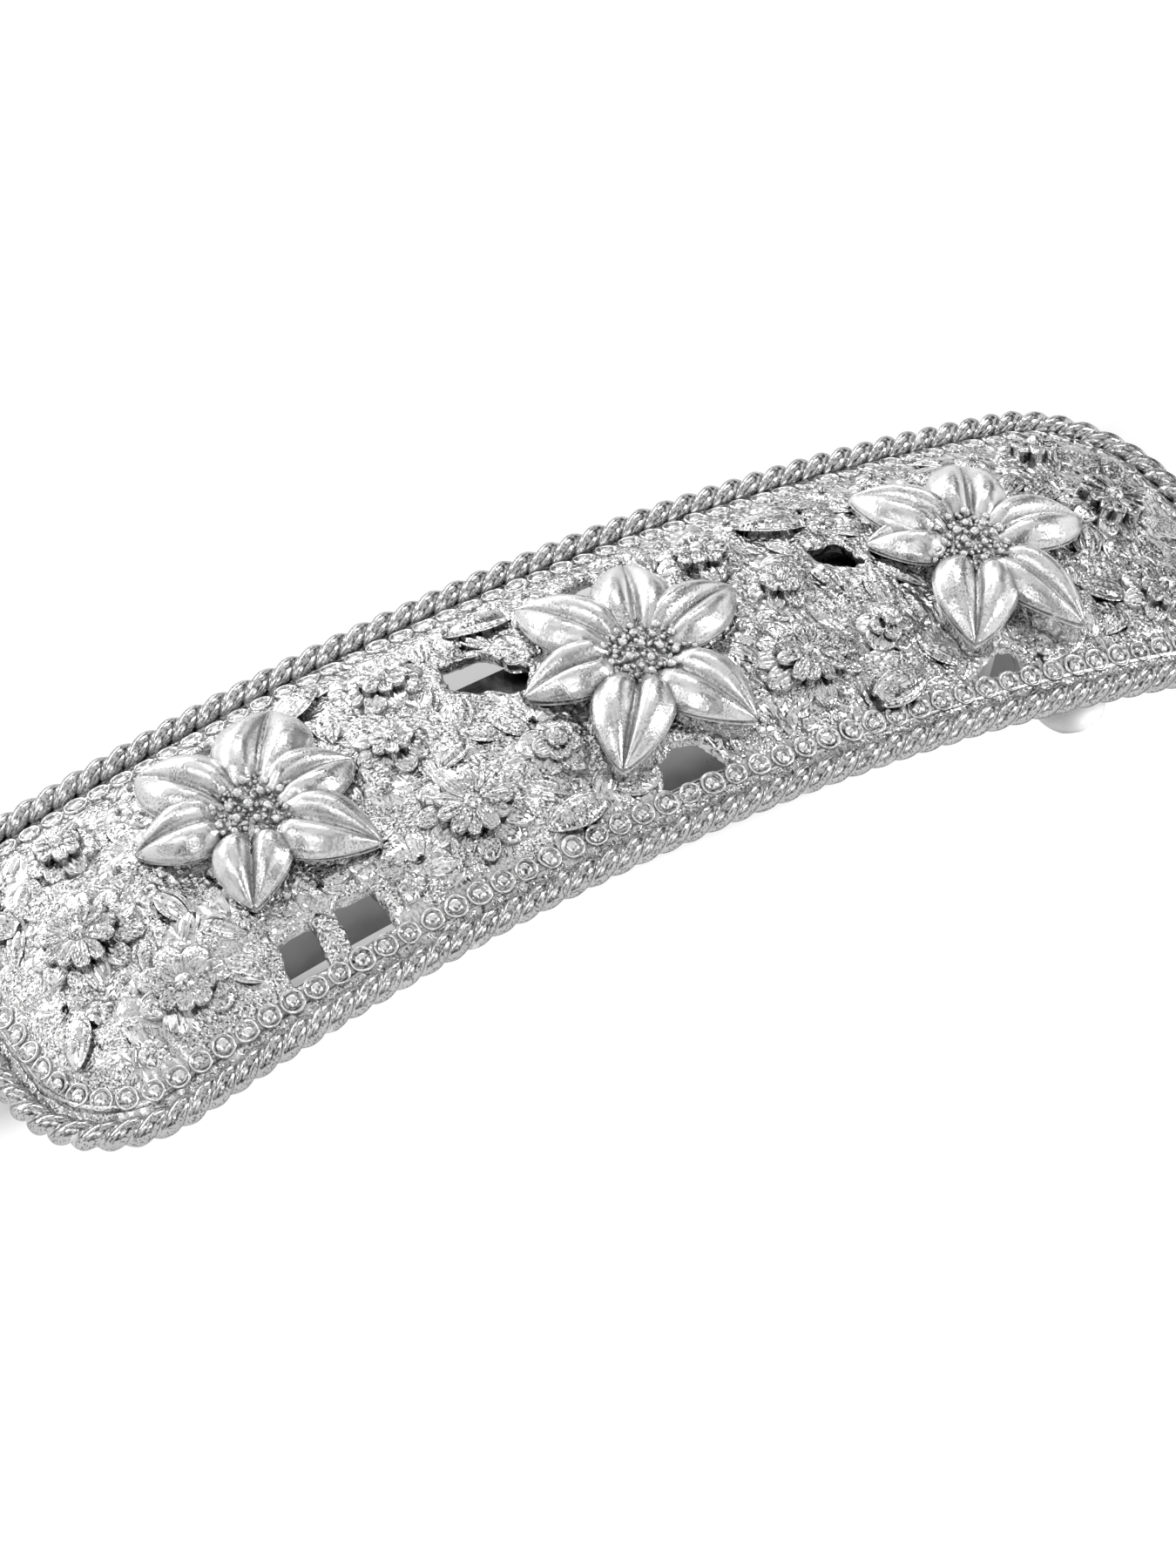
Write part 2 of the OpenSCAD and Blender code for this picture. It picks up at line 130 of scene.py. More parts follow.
rope_low, rope_high = box_mm("rope_border")
HALF_LEN = rope_high[0] - ROPE_D / 2
HALF_W = CLIP_W / 2
ARCH_RISE = rope_high[2] - rope_low[2] - ROPE_D
ARCH_R = (HALF_LEN**2 + ARCH_RISE**2) / (2 * ARCH_RISE)
ARCH_CZ = rope_high[2] - ROPE_D / 2 - ARCH_R
CROWN_H = box_mm("cast_plate")[1][2] - ARCH_CZ - ARCH_R


# ---- Places on the arched and domed ornament ----


def rim_z(x):
    """Height of the border's arch."""
    return ARCH_CZ + np.sqrt(ARCH_R**2 - np.asarray(x, float) ** 2)


def flare(x):
    """How much wider the ornament is at x than at its middle."""
    return 1 + END_FLARE * (np.asarray(x, float) / HALF_LEN) ** 2


def inset_at(x, y):
    """Distance in from the border's outline, in plan."""
    qx = np.abs(x) - (HALF_LEN - CORNER_R)
    qy = np.abs(y) / flare(x) - (HALF_W - CORNER_R)
    outside = np.hypot(np.maximum(qx, 0), np.maximum(qy, 0))
    return CORNER_R - outside - np.minimum(np.maximum(qx, qy), 0)


def plate_z(x, y):
    """Height of the plate's top."""
    d = np.clip(inset_at(x, y) - 0.5, 0, HALF_W) / HALF_W
    return rim_z(x) + CROWN_H * (1 - (1 - d) ** 2.4)


def outline(inset, count):
    """Evenly spaced points round the border, moved in by inset, clockwise seen from above."""
    radius = CORNER_R - inset
    hx, hy = HALF_LEN - inset - radius, HALF_W - inset - radius
    turn = np.linspace(0, math.pi / 2, 40)
    plan = []
    for sx, sy, start in ((1, 1, 90), (1, -1, 0), (-1, -1, -90), (-1, 1, -180)):
        angle = math.radians(start) - turn
        plan.append(np.stack([sx * hx + radius * np.cos(angle), sy * hy + radius * np.sin(angle)], 1))
    corners = np.vstack(plan + [plan[0][:1]])
    steps = []
    for a, b in zip(corners[:-1], corners[1:]):
        n = max(1, int(np.hypot(*(b - a)) / 0.5))
        steps.append(a + (b - a) * (np.arange(n) / n)[:, None])
    dense = np.vstack(steps)
    dense = np.column_stack([dense[:, 0], dense[:, 1] * flare(dense[:, 0])])
    dense = np.column_stack([dense, rim_z(dense[:, 0])])
    loop = np.vstack([dense, dense[:1]])
    along = np.concatenate([[0], np.cumsum(np.linalg.norm(np.diff(loop, axis=0), axis=1))])
    wanted = np.arange(count) / count * along[-1]
    return np.column_stack([np.interp(wanted, along, loop[:, k]) for k in range(3)])


def unit(vectors):
    """Rows of vectors, each brought to length 1."""
    return vectors / np.linalg.norm(vectors, axis=1)[:, None]


def loop_headings(points):
    """Direction of travel at each point of a closed loop."""
    return unit(np.roll(points, -1, 0) - np.roll(points, 1, 0))


def placed(x_axis, z_axis, origin):
    """Matrix of a frame with the given Z axis, and X as near x_axis as it can be."""
    z = np.array(z_axis, float) / np.linalg.norm(z_axis)
    y = np.cross(z, x_axis)
    y /= np.linalg.norm(y)
    m = np.eye(4)
    m[:3, 0], m[:3, 1], m[:3, 2], m[:3, 3] = np.cross(y, z), y, z, origin
    return m


def on_plate(x, y, lift=0.0, turn=0.0):
    """Frame that stands on the plate at x, y, turned by degrees about the plate's normal."""
    e = 0.6
    slope_x = (plate_z(x + e, y) - plate_z(x - e, y)) / (2 * e)
    slope_y = (plate_z(x, y + e) - plate_z(x, y - e)) / (2 * e)
    normal = np.array([-slope_x, -slope_y, 1])
    normal /= np.linalg.norm(normal)
    origin = np.array([x, y, float(plate_z(x, y))]) + lift * normal
    heading = (math.cos(math.radians(turn)), math.sin(math.radians(turn)), 0)
    return placed(heading, normal, origin)


def on_lily(side):
    """Frame at a lily's centre, square to the arch, found from its stamens' box."""
    low, high = box_mm(f"stamens_{side}")
    x, y = (low[:2] + high[:2]) / 2
    tilt = math.asin(x / (ARCH_R + LILY_H + 0.4))
    normal = (math.sin(tilt), 0, math.cos(tilt))
    radius = ARCH_R + LILY_H
    return placed((1, 0, 0), normal, (radius * normal[0], y, ARCH_CZ + radius * normal[2]))


def turned(degrees, x=0.0, y=0.0, z=0.0, tip=0.0):
    """Matrix that tips about Y, then turns about Z, then moves."""
    m = Matrix.Translation((x, y, z)) @ Matrix.Rotation(math.radians(degrees), 4, "Z")
    return np.array(m @ Matrix.Rotation(math.radians(tip), 4, "Y"))


def moved(points, matrix):
    """Points carried by a matrix."""
    return points @ matrix[:3, :3].T + matrix[:3, 3]


# ---- Mesh building ----


class Parts:
    """Closed shapes gathered into one mesh, in millimetres."""

    def __init__(self):
        self.points = []
        self.faces = []
        self.count = 0

    def add(self, shape, matrix=None):
        points, faces = shape
        points = np.asarray(points, float)
        if matrix is not None:
            points = moved(points, matrix)
        self.points.append(points)
        self.faces += [tuple(int(i) + self.count for i in f) for f in faces]
        self.count += len(points)

    def whole(self):
        return np.vstack(self.points), self.faces


def piece(name, shape, material, body=BODY, replaces=()):
    """Makes a shape a smooth-shaded object that rides on a body and stands for CAD nodes."""
    points, faces = shape.whole() if isinstance(shape, Parts) else shape
    mesh = bpy.data.meshes.new(name)
    mesh.from_pydata((np.asarray(points) * MM).tolist(), [], faces)
    mesh.polygons.foreach_set("use_smooth", [True] * len(mesh.polygons))
    obj = bpy.data.objects.new(name, mesh)
    return finished(obj, material, body, replaces)


def finished(obj, material, body, replaces):
    """Gives an object its material, body and the CAD nodes that it stands for."""
    if obj.name not in bpy.context.scene.collection.objects:
        bpy.context.scene.collection.objects.link(obj)
    obj.data.materials.clear()
    obj.data.materials.append(material)
    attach(obj, body)
    if replaces:
        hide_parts(*replaces)
    return obj


def grid_faces(rows, cols, wrap=False, closed=False):
    """Quads of a grid of points stored row by row.

    With wrap the last column joins the first, and with closed the last row joins the first.
    """
    faces = []
    for i in range(rows if closed else rows - 1):
        here = i * cols
        ahead = (i + 1) % rows * cols
        for j in range(cols if wrap else cols - 1):
            k = (j + 1) % cols
            faces.append((here + j, here + k, ahead + k, ahead + j))
    return faces


def end_faces(rows, sides):
    """The two faces that close the ends of a round grid."""
    first = tuple(reversed(range(sides)))
    last = tuple(range((rows - 1) * sides, rows * sides))
    return [first, last]


def petal_shares(rows, cols):
    """Shares along a petal from 0 to 1, and across it from -1 to 1, closer together at its edges."""
    along = np.linspace(0, 1, rows)[:, None]
    across = np.sin(np.linspace(-math.pi / 2, math.pi / 2, cols))[None, :]
    return along, across


def shell(top, bottom):
    """Closed shape between two grids of points, the top one facing +Z."""
    rows, cols = top.shape[:2]
    count = rows * cols
    upper = [tuple(reversed(f)) for f in grid_faces(rows, cols)]
    lower = [tuple(i + count for i in f) for f in grid_faces(rows, cols)]
    rim = [i * cols for i in range(rows)]
    rim += [(rows - 1) * cols + j for j in range(1, cols)]
    rim += [i * cols + cols - 1 for i in range(rows - 2, -1, -1)]
    rim += [j for j in range(cols - 2, 0, -1)]
    wall = [(a, b, b + count, a + count) for a, b in zip(rim, rim[1:] + rim[:1])]
    return np.vstack([top.reshape(-1, 3), bottom.reshape(-1, 3)]), upper + lower + wall


def lathe(profile, sides=20):
    """Closed solid of revolution about Z from (radius, z) pairs, bottom first."""
    turn = np.arange(sides) / sides * 2 * math.pi
    rings = [np.column_stack([r * np.cos(turn), r * np.sin(turn), np.full(sides, z)]) for r, z in profile]
    faces = grid_faces(len(profile), sides, wrap=True) + end_faces(len(profile), sides)
    return np.vstack(rings), faces


def ball(radius, sides=10, squash=1.0):
    """Ball on the origin, with a height of squash times its width."""
    pole = 0.03
    polar = np.linspace(pole, math.pi - pole, sides // 2 + 1)
    return lathe([(radius * math.sin(a), -radius * squash * math.cos(a)) for a in polar], sides)


def tube(path, radii, sides=8, closed=False, up=(0, 0, 1)):
    """Round tube along a path, with a radius or one radius for each point."""
    path = np.asarray(path, float)
    along = loop_headings(path) if closed else unit(np.gradient(path, axis=0))
    side = unit(np.cross(along, up))
    over = np.cross(side, along)
    turn = np.arange(sides) / sides * 2 * math.pi
    ring = np.cos(turn)[None, :, None] * side[:, None] + np.sin(turn)[None, :, None] * over[:, None]
    radii = np.broadcast_to(np.asarray(radii, float), len(path))
    points = (path[:, None] + radii[:, None, None] * ring).reshape(-1, 3)
    faces = grid_faces(len(path), sides, wrap=True, closed=closed)
    if not closed:
        faces += end_faces(len(path), sides)
    return points, faces


def rough_noise(points, size, seed=0.0):
    """Smooth noise from -1 to 1 with features of the given size, for each point."""
    return np.array([noise.noise(Vector(p) / size + Vector((seed, seed, seed))) for p in points])


# ---- Materials ----


def link(tree, start, end):
    tree.links.new(start, end)


def math_node(tree, operation, a, b):
    """Result of a math node on two inputs, each a number or a socket."""
    node = tree.nodes.new("ShaderNodeMath")
    node.operation = operation
    for socket, value in zip(node.inputs, (a, b)):
        if isinstance(value, (int, float)):
            socket.default_value = value
        else:
            link(tree, value, socket)
    return node.outputs[0]


def noise_node(tree, coords, size, detail=3.0, stretch=None):
    """Noise with features of about size millimetres. stretch scales the coordinates along X, Y, Z."""
    if stretch:
        mapping = tree.nodes.new("ShaderNodeMapping")
        mapping.inputs["Scale"].default_value = stretch
        link(tree, coords, mapping.inputs["Vector"])
        coords = mapping.outputs["Vector"]
    node = tree.nodes.new("ShaderNodeTexNoise")
    node.inputs["Scale"].default_value = 1 / (size * MM)
    node.inputs["Detail"].default_value = detail
    link(tree, coords, node.inputs["Vector"])
    return node.outputs["Fac"]


def mapped(tree, value, low, high, from_low=0.0, from_high=1.0):
    """Value mapped from its own range to low and high, and held within them."""
    node = tree.nodes.new("ShaderNodeMapRange")
    node.inputs["From Min"].default_value = from_low
    node.inputs["From Max"].default_value = from_high
    node.inputs["To Min"].default_value = low
    node.inputs["To Max"].default_value = high
    link(tree, value, node.inputs["Value"])
    return node.outputs["Result"]


def mixed_colour(tree, factor, low, high):
    """Colour that goes from low to high as factor goes from 0 to 1."""
    node = tree.nodes.new("ShaderNodeMix")
    node.data_type = "RGBA"
    node.inputs["A"].default_value = (*low, 1)
    node.inputs["B"].default_value = (*high, 1)
    link(tree, factor, node.inputs["Factor"])
    return node.outputs["Result"]


def metal(name, bright, dark, rough, grain, pits=None, brushed=None, crevice=0.6, sparkle=0.0, ribs=None):
    """Metal with a bright face, and painted shade of the dark colour in its crevices.

    rough is (lowest, highest) roughness. grain, pits and ribs are (size, depth) in millimetres, and
    brushed is the stretch of the grain along X, Y, Z. sparkle, from 0 to 1, is how far the bump
    gathers in rough patches that are dotted with dark specks.
    """
    material = bpy.data.materials.new(name)
    material.use_nodes = True
    tree = material.node_tree
    shader = tree.nodes["Principled BSDF"]
    shader.inputs["Metallic"].default_value = 1.0
    coords = tree.nodes.new("ShaderNodeTexCoord").outputs["Object"]
    patches = noise_node(tree, coords, 2.4, 4.0)
    coarse = mapped(tree, noise_node(tree, coords, 1.9, 2.0), 0.0, 1.0, 0.42, 0.55)
    bump = tree.nodes.new("ShaderNodeBump")
    bump.inputs["Distance"].default_value = MM
    height = bump_height(tree, coords, coarse, grain, pits, brushed, sparkle, ribs)
    link(tree, height, bump.inputs["Height"])
    link(tree, bump.outputs["Normal"], shader.inputs["Normal"])
    link(tree, mapped(tree, patches, rough[0], rough[1], 0.3, 0.7), shader.inputs["Roughness"])
    # The base colour runs from dark to bright by this factor, which holds painted crevice shade.
    lightness = lightness_with_painted_shade(tree, coords, coarse, patches, crevice, sparkle)
    link(tree, mixed_colour(tree, lightness, dark, bright), shader.inputs["Base Color"])
    return material


def bump_height(tree, coords, coarse, grain, pits, brushed, sparkle, ribs):
    """Height of the fine surface in millimetres, as metal() describes it."""
    height = math_node(tree, "MULTIPLY", noise_node(tree, coords, grain[0], 4.0, brushed), grain[1])
    if pits:
        cells = tree.nodes.new("ShaderNodeTexVoronoi")
        cells.inputs["Scale"].default_value = 1 / (pits[0] * MM)
        link(tree, coords, cells.inputs["Vector"])
        pitted = math_node(tree, "MULTIPLY", cells.outputs["Distance"], pits[1])
        height = math_node(tree, "ADD", height, pitted)
    if sparkle:
        height = math_node(tree, "MULTIPLY", height, mapped(tree, coarse, 1 - sparkle, 1.0))
    if ribs:
        wave = tree.nodes.new("ShaderNodeTexWave")
        wave.inputs["Scale"].default_value = 0.3 / (ribs[0] * MM)
        wave.inputs["Distortion"].default_value = 9.0
        wave.inputs["Detail"].default_value = 1.5
        wave.inputs["Detail Scale"].default_value = 0.6
        link(tree, coords, wave.inputs["Vector"])
        ribbed = math_node(tree, "MULTIPLY", wave.outputs["Fac"], ribs[1])
        height = math_node(tree, "ADD", height, ribbed)
    return height


def lightness_with_painted_shade(tree, coords, coarse, patches, crevice, sparkle):
    """How bright the metal's colour is, from 0 in crevices and specks to 1 on open faces and convex edges.
    Crevices get painted shade from ambient occlusion, and hollows are darker by curvature.
    """
    # Darker in hollows and brighter on convex edges, by curvature.
    convexity = mapped(tree, tree.nodes.new("ShaderNodeNewGeometry").outputs["Pointiness"], 0.0, 1.0, 0.44, 0.52)
    # Painted shade: ambient occlusion darkens the colour in crevices.
    shade = tree.nodes.new("ShaderNodeAmbientOcclusion")
    shade.samples = 6
    shade.inputs["Distance"].default_value = crevice * MM
    lightness = math_node(tree, "MULTIPLY", shade.outputs["AO"], mapped(tree, convexity, 0.6, 1.0))
    lightness = math_node(tree, "MULTIPLY", lightness, mapped(tree, patches, 0.86, 1.05, 0.3, 0.7))
    if sparkle:
        specks = mapped(tree, noise_node(tree, coords, 0.16, 2.0), 0.0, 1.0, 0.4, 0.45)
        rough_patch = math_node(tree, "MULTIPLY", coarse, sparkle)
        gather = math_node(tree, "MAXIMUM", rough_patch, mapped(tree, convexity, 0.8, 0.0))
        bare = mapped(tree, gather, 1.0, 0.0)
        lightness = math_node(tree, "MULTIPLY", lightness, math_node(tree, "MAXIMUM", specks, bare))
    return math_node(tree, "MINIMUM", lightness, 1.0)


def grey(value):
    return (value, value, value)


# The second grey of each metal is the colour of its painted crevice shade and of its dark specks.
PETAL_SILVER = metal(
    "petal_silver", grey(0.9), grey(0.12), (0.22, 0.34), grain=(0.9, 0.05), pits=(0.18, 0.014),
    crevice=0.5, sparkle=0.4,
)
PLATE_SILVER = metal(
    "plate_silver", grey(0.88), grey(0.05), (0.1, 0.22), grain=(0.5, 0.17), pits=(0.28, 0.1),
    crevice=0.5, sparkle=0.85, ribs=(0.6, 0.04),
)
RELIEF_SILVER = metal(
    "relief_silver", grey(0.93), grey(0.06), (0.1, 0.22), grain=(0.45, 0.06), pits=(0.26, 0.05),
    crevice=0.45, sparkle=0.8, ribs=(0.5, 0.015),
)
STAMEN_SILVER = metal(
    "stamen_silver", grey(0.93), grey(0.25), (0.1, 0.26), grain=(0.2, 0.14), pits=(0.3, 0.08), crevice=0.35,
)
BORDER_SILVER = metal(
    "border_silver", grey(0.97), grey(0.1), (0.14, 0.26), grain=(0.6, 0.014), crevice=0.35, sparkle=0.1,
)
# Near-black steel: painted shade for the bar and clasp head, which sit in the shadow under the ornament.
SHADED_BAR_STEEL = metal("bar_steel", grey(0.09), grey(0.02), (0.16, 0.28), (0.16, 0.012), brushed=(0.05, 1, 1))
ARM_STEEL = metal("arm_steel", grey(0.8), grey(0.35), (0.26, 0.38), (0.14, 0.006), brushed=(0.05, 1, 1))
SPRING_STEEL = metal("spring_steel", grey(0.5), grey(0.2), (0.2, 0.32), (0.14, 0.01), brushed=(0.05, 1, 1))
PIN_STEEL = metal("pin_steel", grey(0.7), grey(0.3), (0.2, 0.35), (0.2, 0.015))
SOLDER = metal("solder", grey(0.6), grey(0.25), (0.35, 0.5), (0.4, 0.05))


# ---- Pierced plate ----


def cad_mesh(node):
    """A CAD node's mesh with its split corners joined again, as bmesh, in metres."""
    bm = bmesh.new()
    bm.from_mesh(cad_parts[node].data)
    bmesh.ops.remove_doubles(bm, verts=bm.verts, dist=1e-6)
    return bm


def evaluated(obj):
    """The object's mesh with its modifiers applied."""
    graph = bpy.context.evaluated_depsgraph_get()
    return bpy.data.meshes.new_from_object(obj.evaluated_get(graph))


def make_plate():
    """The pierced plate, with softened edges and the cast relief of its ground."""
    bm = cad_mesh("cast_plate")
    mesh = bpy.data.meshes.new("plate_ground")
    bm.to_mesh(mesh)
    bm.free()
    obj = bpy.data.objects.new("plate_ground", mesh)
    bpy.context.scene.collection.objects.link(obj)
    remesh = obj.modifiers.new("remesh", "REMESH")
    remesh.mode = "VOXEL"
    remesh.voxel_size = PLATE_VOXEL * MM
    soften = obj.modifiers.new("soften", "SMOOTH")
    soften.factor = 0.5
    soften.iterations = 4
    obj.data = evaluated(obj)
    obj.modifiers.clear()

    count = len(obj.data.vertices)
    co = np.zeros(count * 3)
    obj.data.vertices.foreach_get("co", co)
    normal = np.zeros(count * 3)
    obj.data.vertices.foreach_get("normal", normal)
    co, normal = co.reshape(-1, 3) / MM, normal.reshape(-1, 3)
    inside = np.clip((inset_at(co[:, 0], co[:, 1]) - 2.6) / 0.8, 0.08, 1)
    swell = rough_noise(co, 2.6, 3.1)
    folds = 1 - np.abs(rough_noise(co * (1, 1, 0.4), 1.3, 8.7)) * 2
    pits = rough_noise(co, 0.5, 1.9)
    relief = inside * (GROUND_SWELL * swell + GROUND_FOLD * folds + GROUND_PIT * pits)
    underside = normal[:, 2] < 0
    relief[underside] *= 0.45
    co += normal * relief[:, None]
    obj.data.vertices.foreach_set("co", (co * MM).ravel())
    obj.data.polygons.foreach_set("use_smooth", [True] * len(obj.data.polygons))
    return finished(obj, PLATE_SILVER, BODY, ["cast_plate"])


def plate_tree():
    """The CAD plate's faces, for finding where it has openings."""
    bm = cad_mesh("cast_plate")
    tree = BVHTree.FromBMesh(bm)
    bm.free()
    return tree


PLATE_TREE = plate_tree()


def is_solid(x, y):
    """Whether the plate has metal at x, y."""
    above = Vector((x, y, 40)) * MM
    return PLATE_TREE.ray_cast(above, Vector((0, 0, -1)))[0] is not None


# ---- Borders ----


def make_rope():
    """Two fat strands twisted round the border, as one sweep of a section with two lobes."""
    count, sides = ROPE_TURNS * 20, 24
    line = outline(0, count)
    up = unit(np.column_stack([line[:, 0], np.zeros(count), line[:, 2] - ARCH_CZ]))
    side = np.cross(loop_headings(line), up)
    around = np.arange(sides) / sides * 2 * math.pi
    section = ROPE_D / 2 * (ROPE_VALLEY + (1 - ROPE_VALLEY) * np.abs(np.cos(around)) ** 0.65)
    uneven = 1 - 0.06 * np.abs(rough_noise(line, 1.4, 5.5))
    turn = (np.arange(count) / count * ROPE_TURNS * 2 * math.pi)[:, None] + around[None, :]
    ring = np.cos(turn)[..., None] * side[:, None] + np.sin(turn)[..., None] * up[:, None]
    points = line[:, None] + (uneven[:, None] * section[None, :])[..., None] * ring
    rope = (points.reshape(-1, 3), grid_faces(count, sides, wrap=True, closed=True))
    piece("rope_strands", rope, BORDER_SILVER, replaces=["rope_border"])


def make_beads():
    """A row of small cups with a low bead in each, the strip they stand on and a fine line inside them."""
    row = Parts()
    places = outline(BEAD_INSET, BEAD_COUNT)
    for k, p in enumerate(places):
        ahead = places[(k + 1) % BEAD_COUNT] - places[k - 1]
        normal = on_plate(p[0], p[1])[:3, 2]
        seat = placed(ahead, normal, p + (0, 0, BEAD_LIFT))
        wobble = rng.normal(0, 0.04, 3)
        lean = turned(rng.uniform(0, 360), tip=rng.normal(0, 4))
        row.add(lathe([(r * (1 + wobble[2]), z) for r, z in CUP], 20), seat @ lean)
        bead_r = rng.uniform(0.42, 0.56)
        row.add(ball(bead_r, 12, 0.4), seat @ lean @ turned(0, wobble[0], wobble[1], -0.13 + wobble[2]))
    strip = outline(BEAD_INSET, 400) + (0, 0, BEAD_LIFT - 0.86)
    row.add(tube(strip, 0.78, 8, closed=True))
    edge = outline(LEDGE_INSET, 500) + (0, 0, BEAD_LIFT - 0.15)
    row.add(tube(edge, LEDGE_R * (1 + 0.3 * rough_noise(edge, 1.5, 2.0)), 6, closed=True))
    points, faces = row.whole()
    uneven = np.column_stack([rough_noise(points, 0.7, seed) for seed in (1.0, 4.0, 9.0)])
    row = (points + 0.07 * uneven, faces)
    piece("bead_row", row, BORDER_SILVER, replaces=["bead_border"])


# ---- Lilies ----


def petal_grid(length, width, blunt, rise=0.95, droop=1.7, rows=36, cols=33):
    """Top and underside of a lily petal that starts at the origin and points along +X."""
    u, v = petal_shares(rows, cols)
    bell = np.sin(np.clip(math.pi * u ** (0.95 + 0.5 * blunt), 0, math.pi)) ** (0.8 - 0.3 * blunt)
    half = width / 2 * (0.2 * (1 - u) + bell) + 0.05
    x = length * u - 0.35 * blunt * (v**2) * u
    line = rise * np.sin(np.radians(120) * u) - droop * u**2
    full = np.sin(math.pi * np.clip(u, 0, 1) ** 0.85) ** 0.75 * np.clip(3.2 * u, 0.15, 1)
    lobes = full * np.sin(math.pi * np.abs(v) ** 0.85) ** 0.8
    crease = -0.28 * full * np.exp(-((v / 0.16) ** 2))
    rib = 0.2 * full * (np.exp(-(((v - 0.06) / 0.035) ** 2)) + np.exp(-(((v + 0.06) / 0.035) ** 2)))
    rim = 0.12 * full * np.exp(-(((np.abs(v) - 0.93) / 0.05) ** 2))
    edge = -0.35 * full * np.abs(v) ** 5
    z = line + lobes + crease + rib + rim + edge
    top = np.stack([x + 0 * v, v * half, z], -1)
    low = line - 0.32 - 0.25 * (1 - v**2) * full - 0.3 * full * np.abs(v) ** 5
    bottom = np.stack([x + 0 * v, v * half * 0.97, np.minimum(low, z - 0.12)], -1)
    return top, bottom


def make_lily(side):
    """Six petals round a mound, and the cast walls that join them to the plate."""
    seat = on_lily(side)
    petals, webs = Parts(), Parts()
    petals.add(lathe([(2.6, -2.2), (2.4, -0.8), (1.9, -0.2), (0.5, 0)], 28), seat)
    for k, (angle, share, wide, blunt) in enumerate(LILY_PETALS[side]):
        lift = -0.25 + 0.12 * (k % 2)
        place = seat @ turned(angle, z=lift) @ turned(0, x=0.6)
        length = PETAL_L * share - 0.6
        top, bottom = petal_grid(length, PETAL_W * wide, blunt)
        bend = rng.normal(0, 0.12)
        for grid in (top, bottom):
            grid[..., 1] += bend * (grid[..., 0] / length) ** 2 * 2
            grid[..., 2] += 0.05 * rng.normal() * grid[..., 0] / length
        petals.add(shell(top, bottom), place)
        webs.add(petal_web(bottom, place))
    piece(f"lily_{side}_petals", petals, PETAL_SILVER, replaces=[f"lily_{side}"])
    piece(f"lily_{side}_webs", webs, PLATE_SILVER)


def petal_web(bottom, place):
    """Cast wall that joins a petal's underside to the plate below it."""
    rows, cols = bottom.shape[:2]
    left = bottom[3:-2, 0]
    right = bottom[3:-2, -1][::-1]
    rim = np.vstack([left, right])
    middle = np.column_stack([rim[:, 0], 0 * rim[:, 1], rim[:, 2]])
    upper = moved(middle + (rim - middle) * (1, 0.86, 1) + (0, 0, 0.15), place)
    waist = moved(middle + (rim - middle) * (1, 0.74, 1) + (0, 0, -0.5), place)
    foot = moved(middle + (rim - middle) * (1, 0.92, 1), place)
    foot[:, 2] = plate_z(foot[:, 0], foot[:, 1]) - 0.35
    levels = [upper, waist]
    for t in (0.35, 0.6, 0.8, 1.0):
        level = waist + (foot - waist) * (t**1.6, t**1.6, t)
        level[:, :2] += 0.08 * rng.normal(size=(len(level), 2))
        levels.append(level)
    count = len(upper)
    points = np.vstack(levels)
    faces = [tuple(reversed(f)) for f in grid_faces(len(levels), count, wrap=True)]
    half = count // 2
    strips = [(i, i + 1, count - 2 - i, count - 1 - i) for i in range(half - 1)]
    last = (len(levels) - 1) * count
    faces += [tuple(reversed(f)) for f in strips]
    faces += [tuple(i + last for i in f) for f in strips]
    return points, faces


def make_stamens(side):
    """Granulated mound with ball-headed filaments that lean outwards."""
    seat = on_lily(side)
    cluster = Parts()
    cluster.add(lathe([(3.0, -0.8), (2.8, -0.1), (1.7, 0.35), (0.3, 0.55)], 24), seat)
    for k in range(GRAIN_COUNT):
        r = 3.5 * math.sqrt((k + 0.5) / GRAIN_COUNT)
        a = k * SEED_TURN + 0.2 * rng.normal()
        size = 0.13 + 0.12 * rng.random()
        z = 0.6 - 0.05 * r * r + 0.12 * rng.normal()
        cluster.add(ball(size, 6), seat @ turned(0, r * math.cos(a), r * math.sin(a), z))
    for count, radius, tall, lean, head in STAMEN_RINGS:
        for k in range(count):
            turn = 360 * (k + 0.3 * rng.random()) / count + 17 * radius
            place = seat @ turned(turn) @ turned(0, x=radius * (0.9 + 0.15 * rng.random()), z=0.2, tip=lean)
            tall_here = tall * (0.85 + 0.25 * rng.random())
            cluster.add(tube([(0, 0, 0), (0, 0, tall_here)], 0.15, 6, up=(1, 0, 0)), place)
            cluster.add(ball(head * (0.8 + 0.25 * rng.random()), 10), place @ turned(0, z=tall_here))
    piece(f"stamens_{side}_cluster", cluster, STAMEN_SILVER, replaces=[f"stamens_{side}"])


# ---- Small flowers, leaves and ground relief ----


def small_petal(inner, outer, width, height, base, groove, rows=12, cols=19):
    """Puffed petal with a raised rim and a groove down its middle, from radius inner to outer along +X."""
    u, v = petal_shares(rows, cols)
    half = width / 2 * np.clip(np.sin(math.pi * (0.08 + 0.92 * u) ** 1.15), 0, 1) ** 0.5 + 0.03
    x = inner + (outer - inner) * u
    full = np.sin(math.pi * np.clip(0.12 + 0.86 * u, 0, 1)) ** 0.5
    puff = np.clip(1 - v**4, 0, 1) ** 0.5 * full
    dip = groove * (1 - np.abs(v) ** 2.2) * np.sin(math.pi * u) ** 0.8
    rib = 0.35 * groove * np.exp(-((v / 0.14) ** 2)) * full
    lines = 0.045 * np.cos(5 * math.pi * v) * full * np.sin(math.pi * u)
    z = base + height * puff - dip + rib + lines
    top = np.stack([x + 0 * v, v * half, z], -1)
    bottom = np.stack([x + 0 * v, v * half, 0 * z - 0.6], -1)
    return shell(top, bottom)


